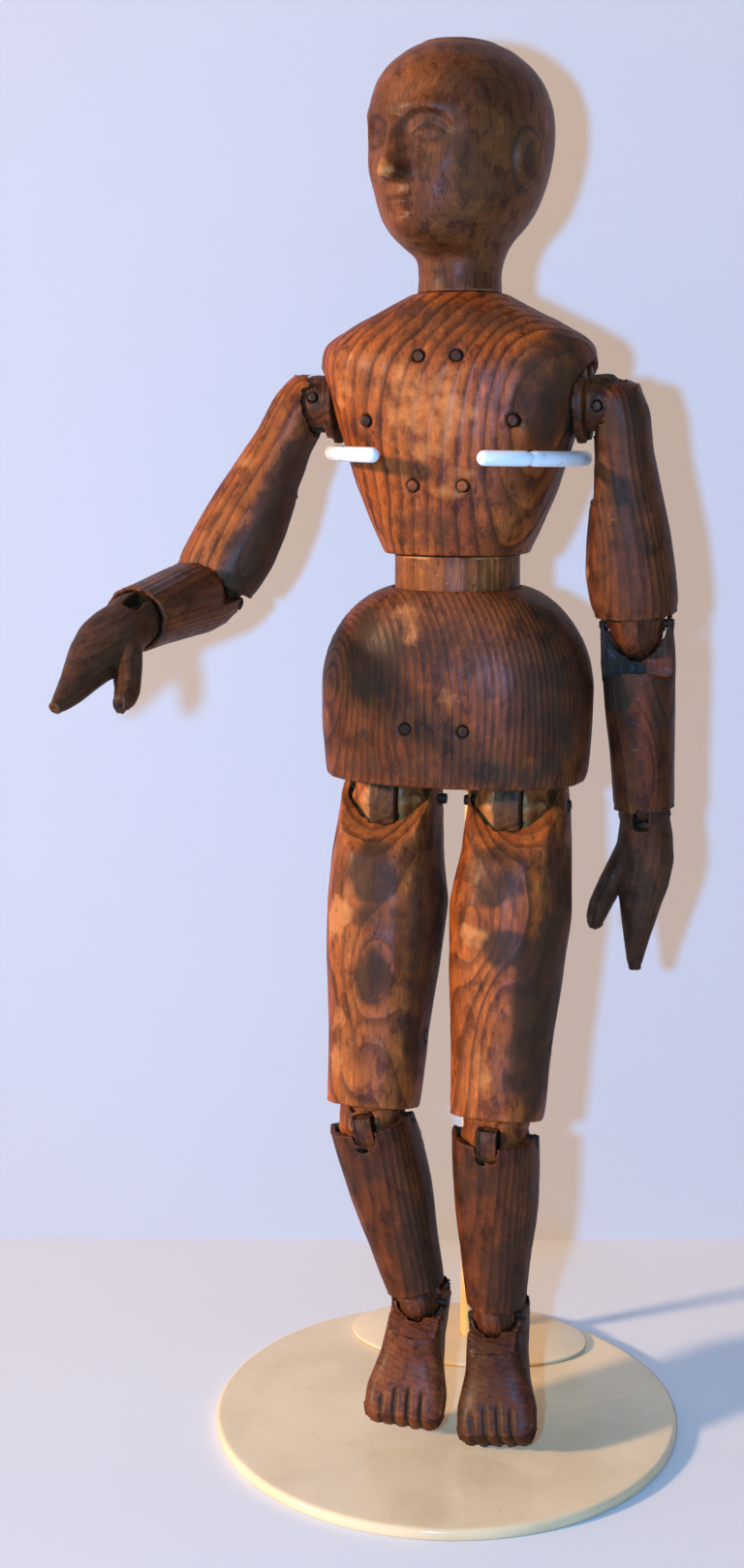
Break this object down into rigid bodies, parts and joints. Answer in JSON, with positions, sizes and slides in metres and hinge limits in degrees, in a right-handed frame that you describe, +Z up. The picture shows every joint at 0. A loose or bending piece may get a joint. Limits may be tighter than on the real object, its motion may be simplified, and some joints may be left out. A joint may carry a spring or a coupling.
{
  "type": "articulated lay figure on a display stand",
  "caption": "Carved wooden lay figure with pegged hinge joints at every limb, turning head and waist, held under the arms by a wire hoop on a post and round base.",
  "frame": {"origin": "middle of the round base's underside", "axes": "+Z up, -Y the stand's front, +X the figure's left"},
  "size_m": [0.2394, 0.2465, 0.605],
  "materials": {
    "base_enamel": "glossy cream enamel with a few chips",
    "plate_enamel": "glossy cream enamel",
    "post_enamel": "glossy cream enamel",
    "wire": "satin white paint",
    "sleeve_vinyl": "smooth white vinyl tubing",
    "head_wood": "old dark waxed softwood, worn to a satin gloss",
    "chest_wood": "old waxed softwood with bold growth rings",
    "waist_wood": "old waxed softwood, worn light at the edge",
    "pelvis_wood": "old waxed softwood with fine growth rings",
    "arm_wood": "old dark waxed softwood, worn light at the ends",
    "forearm_wood": "old dark waxed softwood",
    "hand_wood": "old dark waxed softwood, darkened by handling",
    "thigh_wood": "old waxed softwood with smoky patches",
    "tongue_wood": "plain unwaxed hardwood",
    "shin_wood": "old dark waxed softwood",
    "foot_wood": "old dark waxed softwood",
    "peg_wood": "dark end grain"
  },
  "bodies": {
    "stand": {"stand_base": "base_enamel", "post_foot_plate": "plate_enamel", "stand_post": "post_enamel"},
    "hoop": {"hoop_wire": "wire", "left_hoop_sleeve": "sleeve_vinyl", "right_hoop_sleeve": "sleeve_vinyl", "left_hoop_cap": "sleeve_vinyl", "right_hoop_cap": "sleeve_vinyl"},
    "chest": {"chest": "chest_wood", "left_neck_peg": "peg_wood", "right_neck_peg": "peg_wood", "left_waist_peg": "peg_wood", "right_waist_peg": "peg_wood", "left_shoulder_dowel_peg": "peg_wood", "right_shoulder_dowel_peg": "peg_wood"},
    "head": {"head": "head_wood"},
    "pelvis": {"waist_drum": "waist_wood", "pelvis": "pelvis_wood", "left_hip_peg": "peg_wood", "right_hip_peg": "peg_wood"},
    "left_shoulder": {"left_shoulder_block": "arm_wood", "left_shoulder_pin": "peg_wood"},
    "left_upper_arm": {"left_upper_arm": "arm_wood"},
    "left_forearm": {"left_forearm": "forearm_wood", "left_elbow_pin": "peg_wood"},
    "left_hand": {"left_hand": "hand_wood", "left_wrist_pin": "peg_wood"},
    "left_hip": {"left_hip_block": "thigh_wood", "left_hip_tongue": "tongue_wood"},
    "left_thigh": {"left_thigh": "thigh_wood", "left_hip_pin": "peg_wood", "left_knee_tongue": "tongue_wood", "left_knee_peg": "peg_wood"},
    "left_shin": {"left_shin": "shin_wood", "left_knee_pin": "peg_wood"},
    "left_foot": {"left_foot": "foot_wood", "left_ankle_pin": "peg_wood"},
    "right_shoulder": {"right_shoulder_block": "arm_wood", "right_shoulder_pin": "peg_wood"},
    "right_upper_arm": {"right_upper_arm": "arm_wood"},
    "right_forearm": {"right_forearm": "forearm_wood", "right_elbow_pin": "peg_wood"},
    "right_hand": {"right_hand": "hand_wood", "right_wrist_pin": "peg_wood"},
    "right_hip": {"right_hip_block": "thigh_wood", "right_hip_tongue": "tongue_wood"},
    "right_thigh": {"right_thigh": "thigh_wood", "right_hip_pin": "peg_wood", "right_knee_tongue": "tongue_wood", "right_knee_peg": "peg_wood"},
    "right_shin": {"right_shin": "shin_wood", "right_knee_pin": "peg_wood"},
    "right_foot": {"right_foot": "foot_wood", "right_ankle_pin": "peg_wood"}
  },
  "joints": [
    {"name": "hoop_height", "type": "slide", "parent": "stand", "child": "hoop", "axis": [0, 0, 1], "range_m": [0, 0.045]},
    {"name": "figure_lift", "type": "slide", "parent": "hoop", "child": "chest", "axis": [0, 0, 1], "range_m": [0, 0.015]},
    {"name": "neck_turn", "type": "hinge", "parent": "chest", "child": "head", "pos_m": [0, 0.017, 0.5027], "axis": [0, 0, 1], "range_deg": [-65, 115]},
    {"name": "waist_turn", "type": "hinge", "parent": "chest", "child": "pelvis", "pos_m": [0, 0.017, 0.3932], "axis": [0, 0, 1], "range_deg": [-30, 30]},
    {"name": "left_shoulder_swing", "type": "hinge", "parent": "chest", "child": "left_shoulder", "pos_m": [0.06166, 0.01052, 0.457], "axis": [-0.9945, 0.1045, 0], "range_deg": [-30, 110]},
    {"name": "left_shoulder_raise", "type": "hinge", "parent": "left_shoulder", "child": "left_upper_arm", "pos_m": [0.06166, 0.01052, 0.457], "axis": [-0.1037, -0.9871, -0.1219], "range_deg": [0, 48]},
    {"name": "left_elbow", "type": "hinge", "parent": "left_upper_arm", "child": "left_forearm", "pos_m": [0.07754, 0.02036, 0.36378], "axis": [-0.9923, 0.1111, -0.0554], "range_deg": [-4, 84]},
    {"name": "left_wrist", "type": "hinge", "parent": "left_forearm", "child": "left_hand", "pos_m": [0.08263, 0.02421, 0.28042], "axis": [0.9923, -0.1111, 0.0554], "range_deg": [-30, 30]},
    {"name": "left_hip_turn", "type": "hinge", "parent": "pelvis", "child": "left_hip", "pos_m": [0.02785, 0.01407, 0.285], "axis": [0, 0, 1], "range_deg": [0, 15]},
    {"name": "left_hip_swing", "type": "hinge", "parent": "left_hip", "child": "left_thigh", "pos_m": [0.02785, 0.01407, 0.285], "axis": [-0.9945, 0.1045, 0], "range_deg": [0, 48]},
    {"name": "left_knee", "type": "hinge", "parent": "left_thigh", "child": "left_shin", "pos_m": [0.02431, -0.01959, 0.14401], "axis": [0.9945, -0.1045, 0], "range_deg": [-17, 45]},
    {"name": "left_ankle", "type": "hinge", "parent": "left_shin", "child": "left_foot", "pos_m": [0.02486, -0.01437, 0.05817], "axis": [0.9813, -0.1127, 0.1561], "range_deg": [-45, 0]},
    {"name": "right_shoulder_swing", "type": "hinge", "parent": "chest", "child": "right_shoulder", "pos_m": [-0.06166, 0.02348, 0.457], "axis": [-0.9945, 0.1045, 0], "range_deg": [-45, 90]},
    {"name": "right_shoulder_raise", "type": "hinge", "parent": "right_shoulder", "child": "right_upper_arm", "pos_m": [-0.06166, 0.02348, 0.457], "axis": [0.1016, 0.967, -0.2334], "range_deg": [-19, 28]},
    {"name": "right_elbow", "type": "hinge", "parent": "right_upper_arm", "child": "right_forearm", "pos_m": [-0.10915, 0.0089, 0.37594], "axis": [-0.9116, 0.0677, 0.4056], "range_deg": [-74, 14]},
    {"name": "right_wrist", "type": "hinge", "parent": "right_forearm", "child": "right_hand", "pos_m": [-0.11786, -0.07404, 0.37021], "axis": [0.9116, -0.0677, -0.4056], "range_deg": [-40, 20]},
    {"name": "right_hip_turn", "type": "hinge", "parent": "pelvis", "child": "right_hip", "pos_m": [-0.02785, 0.01993, 0.285], "axis": [0, 0, -1], "range_deg": [0, 30]},
    {"name": "right_hip_swing", "type": "hinge", "parent": "right_hip", "child": "right_thigh", "pos_m": [-0.02785, 0.01993, 0.285], "axis": [-0.9945, 0.1045, 0], "range_deg": [0, 48]},
    {"name": "right_knee", "type": "hinge", "parent": "right_thigh", "child": "right_shin", "pos_m": [-0.03139, -0.01374, 0.14401], "axis": [0.9693, -0.0435, 0.2418], "range_deg": [-17, 36]},
    {"name": "right_ankle", "type": "hinge", "parent": "right_shin", "child": "right_foot", "pos_m": [-0.01043, -0.01005, 0.06068], "axis": [0.9982, -0.0291, -0.052], "range_deg": [-45, 0]}
  ]
}
